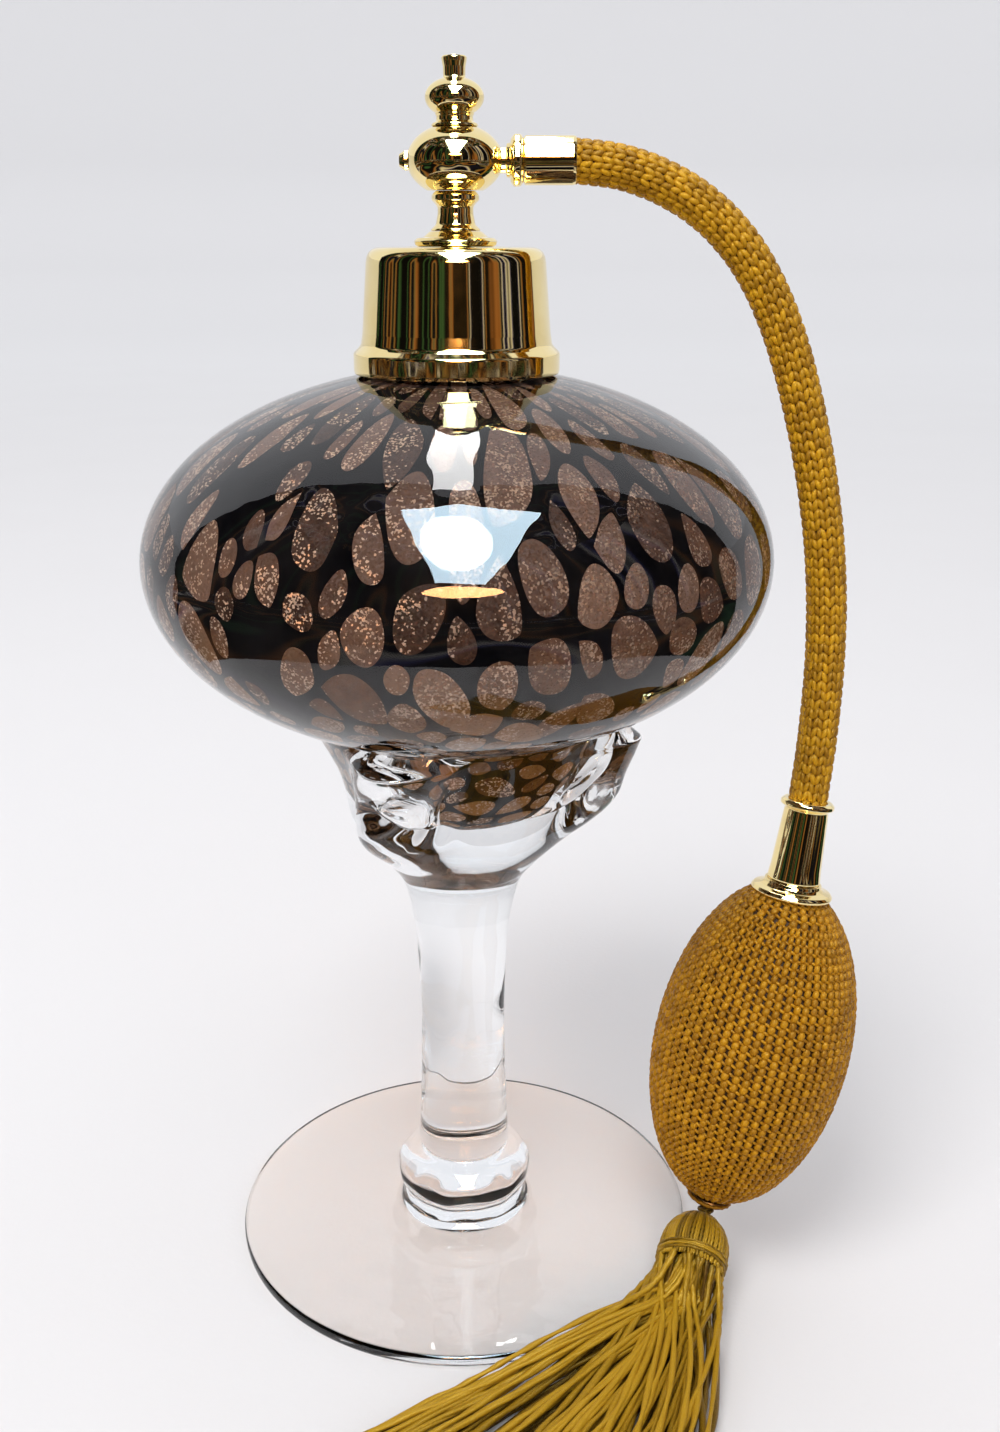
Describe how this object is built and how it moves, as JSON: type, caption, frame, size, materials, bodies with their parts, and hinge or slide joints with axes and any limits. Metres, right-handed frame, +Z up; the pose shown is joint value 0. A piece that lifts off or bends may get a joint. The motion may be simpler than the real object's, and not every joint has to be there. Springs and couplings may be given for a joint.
{
  "type": "perfume atomiser",
  "caption": "Stemmed glass perfume atomiser: spotted flattened bowl on a clear lobed cradle, stem and foot, gilt screw cap and spray head, braided hose, netted squeeze bulb and tassel.",
  "frame": {"origin": "centre of the foot's flat underside, on the surface that it stands on", "axes": "+Z up along the bottle's axis, +X from the bottle towards the hose, -Y towards the front"},
  "size_m": [0.1291, 0.1503, 0.219],
  "materials": {
    "clear_glass": "polished, hot-worked",
    "spotted_glass": "black cased glass with coppery aventurine spots",
    "gilt_brass": "mirror polished, gilt",
    "valve_brass": "turned",
    "valve_steel": "polished balls",
    "liner_plastic": "moulded",
    "tube_plastic": "extruded, translucent",
    "gasket_rubber": "matt",
    "hose_rubber": "matt",
    "gold_braid": "braided rayon",
    "gold_net": "knitted rayon net",
    "tassel_silk": "twisted rayon strands, satin"
  },
  "bodies": {
    "vessel": {"glass_foot": "clear_glass", "glass_knop": "clear_glass", "glass_stem": "clear_glass", "cradle_cup": "clear_glass", "cradle_lobe_1": "clear_glass", "cradle_lobe_2": "clear_glass", "cradle_lobe_3": "clear_glass", "bowl": "spotted_glass", "bowl_casing": "clear_glass", "neck_ring": "gilt_brass"},
    "neck_seal": {"neck_gasket": "gasket_rubber"},
    "collar_seat": {"cap_washer": "gilt_brass"},
    "cap": {"cap_shell": "gilt_brass", "cap_liner": "liner_plastic"},
    "sprayer": {"pedestal": "gilt_brass", "spigot_nut": "gilt_brass", "nut_washer": "gilt_brass", "head_ball": "gilt_brass", "finial": "gilt_brass", "nozzle_tip": "gilt_brass", "air_jet": "gilt_brass", "dip_tube": "tube_plastic"},
    "hose_set": {"hose_nipple": "gilt_brass", "hose_ferrule": "gilt_brass", "hose_core": "hose_rubber", "hose_braid": "gold_braid", "bulb_ferrule": "gilt_brass", "bulb_collar": "gilt_brass", "outlet_valve_seat": "valve_brass", "outlet_valve_cage": "valve_brass", "rubber_bulb": "hose_rubber", "bulb_net": "gold_net", "inlet_valve_body": "valve_brass", "inlet_valve_cage": "valve_brass"},
    "outlet_valve": {"outlet_valve_ball": "valve_steel"},
    "inlet_valve": {"inlet_valve_ball": "valve_steel"},
    "tassel": {"tassel_cord": "tassel_silk", "tassel_head": "tassel_silk", "tassel_binding": "tassel_silk", "tassel_skirt": "tassel_silk"}
  },
  "joints": [
    {"name": "lift_off", "type": "slide", "parent": "vessel", "child": "neck_seal", "axis": [0, 0, 1], "range_m": [0, 0.034]},
    {"name": "unscrew_rise", "type": "slide", "parent": "neck_seal", "child": "collar_seat", "axis": [0, 0, 1], "range_m": [0, 0.006]},
    {"name": "cap_turn", "type": "hinge", "parent": "collar_seat", "child": "cap", "pos_m": [0, 0, 0.18], "axis": [0, 0, 1], "range_deg": [0, 1080.5]},
    {"name": "head_turn", "type": "hinge", "parent": "collar_seat", "child": "sprayer", "pos_m": [0, 0, 0.19], "axis": [0, 0, 1], "continuous": true},
    {"name": "hose_swivel", "type": "hinge", "parent": "sprayer", "child": "hose_set", "pos_m": [0.006, 0, 0.2034], "axis": [1, 0, 0], "range_deg": [-90, 0]},
    {"name": "outlet_valve_lift", "type": "slide", "parent": "hose_set", "child": "outlet_valve", "axis": [0.1432, 0.1432, 0.9793], "range_m": [0, 0.001]},
    {"name": "inlet_valve_lift", "type": "slide", "parent": "hose_set", "child": "inlet_valve", "axis": [0.2145, 0.137, 0.9671], "range_m": [0, 0.001]},
    {"name": "tassel_sweep", "type": "hinge", "parent": "hose_set", "child": "tassel", "pos_m": [0.0477, -0.0172, 0.0145], "axis": [0, 0, 1], "range_deg": [0, 50]}
  ],
  "couplings": [
    {"joint": "cap_turn", "follows": "unscrew_rise", "rad_per_m": 3141.6}
  ]
}
